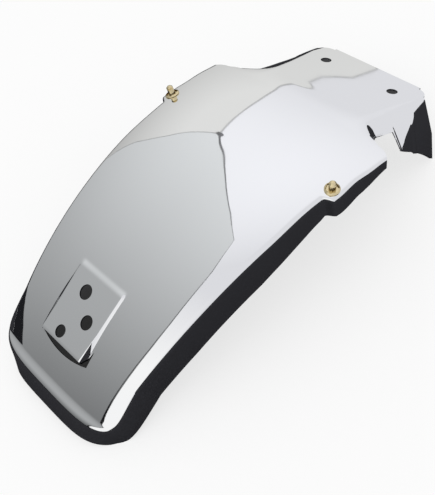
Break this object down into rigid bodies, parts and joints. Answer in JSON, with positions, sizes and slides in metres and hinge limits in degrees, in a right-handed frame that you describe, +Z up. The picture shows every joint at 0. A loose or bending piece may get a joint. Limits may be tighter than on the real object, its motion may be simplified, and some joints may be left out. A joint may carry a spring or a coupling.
{
  "type": "motorcycle rear fender",
  "caption": "Chromed pressed-steel fender for a motorcycle's rear wheel, with a mounting platform and front legs, a lamp pad at the tail and a bolt and nut on each side.",
  "frame": {"origin": "on the floor, midway under the part as it stands on its tail and its two front legs", "axes": "+X to the front end with the mounting platform, +Y to the part's left, +Z up"},
  "size_m": [0.421, 0.2152, 0.1013],
  "materials": {
    "chrome": "polished chrome plate",
    "zinc": "yellow zinc plate"
  },
  "bodies": {
    "root": {"fender": "chrome", "side_bolts": "zinc", "side_nuts": "zinc"}
  },
  "joints": []
}
